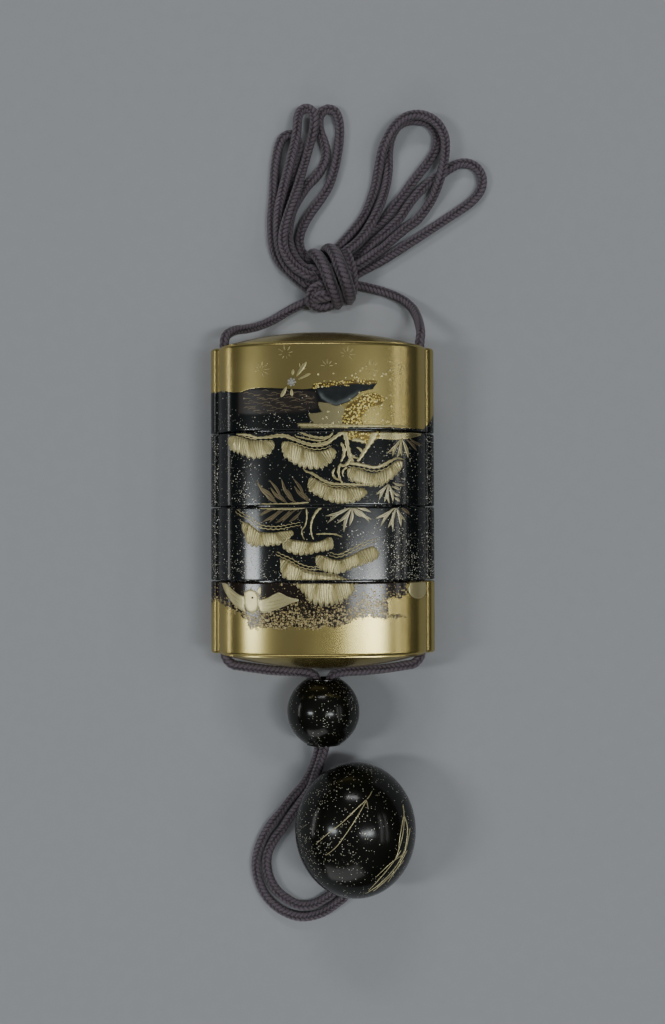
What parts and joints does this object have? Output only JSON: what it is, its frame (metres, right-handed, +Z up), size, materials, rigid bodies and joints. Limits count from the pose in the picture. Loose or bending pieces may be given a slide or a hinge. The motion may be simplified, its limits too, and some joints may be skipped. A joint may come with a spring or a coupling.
{
  "type": "inro case",
  "caption": "Lacquered inro lying on its back: a tiered case threaded on a braided cord, with a sliding bead, a round netsuke and a knotted bow.",
  "frame": {"origin": "centre of the footprint of the case, bead and netsuke, at the height of the table it lies on; the cord and its bow are left out of that box", "axes": "+X across the case, +Y along the case from the lid to the base and the bow, +Z up through the decorated front face"},
  "size_m": [0.0722, 0.2151, 0.0278],
  "materials": {
    "gold_lacquer": "wood core with gold maki-e lacquer, polished",
    "black_lacquer": "wood core with black lacquer sprinkled with gold, polished",
    "silk_cord": "braided silk"
  },
  "bodies": {
    "root": {"base_case": "gold_lacquer", "lower_case": "black_lacquer", "upper_case": "black_lacquer", "lid": "gold_lacquer", "ojime_bead": "black_lacquer", "netsuke": "black_lacquer", "cord_left": "silk_cord", "cord_right": "silk_cord", "bow_left_a": "silk_cord", "bow_left_b": "silk_cord", "bow_left_c": "silk_cord", "bow_right_a": "silk_cord", "bow_right_b": "silk_cord", "bow_right_c": "silk_cord", "knot": "silk_cord"}
  },
  "joints": []
}
